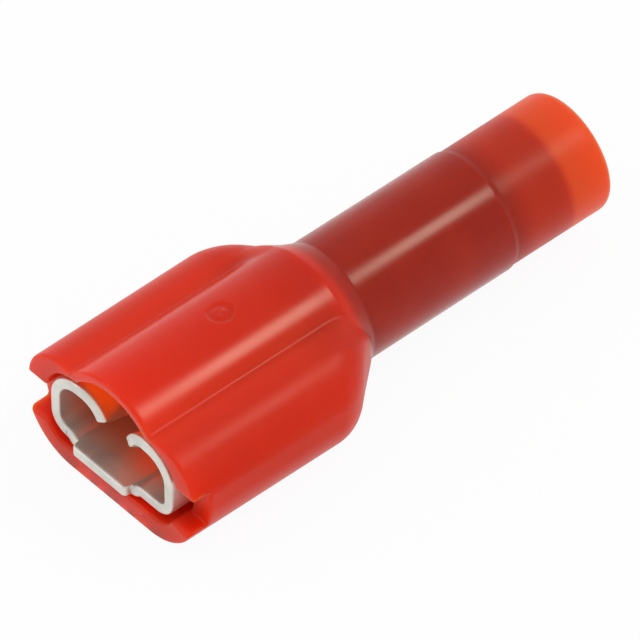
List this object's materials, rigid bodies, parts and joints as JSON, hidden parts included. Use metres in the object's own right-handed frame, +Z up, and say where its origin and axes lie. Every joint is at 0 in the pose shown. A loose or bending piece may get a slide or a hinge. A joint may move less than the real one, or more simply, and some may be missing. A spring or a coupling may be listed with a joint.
{
  "type": "insulated female crimp terminal",
  "caption": "Insulated female push-on terminal: translucent red housing over a rolled receptacle for a flat tab, with a round barrel that is crimped on a thin wire.",
  "frame": {"origin": "middle of the overall length and width, on the flat underside", "axes": "+X from the mouth that takes the tab to the end that takes the wire, +Z up from the flat underside to the dome"},
  "size_m": [0.0196, 0.0082, 0.0051],
  "materials": {
    "red_nylon": "translucent moulded nylon with a soft gloss",
    "tinned_brass": "brass strip with a satin tin plating",
    "tinned_sleeve": "drawn tube with a satin tin plating"
  },
  "bodies": {
    "root": {"insulating_housing": "red_nylon", "receptacle_contact": "tinned_brass", "support_sleeve": "tinned_sleeve"}
  },
  "joints": []
}
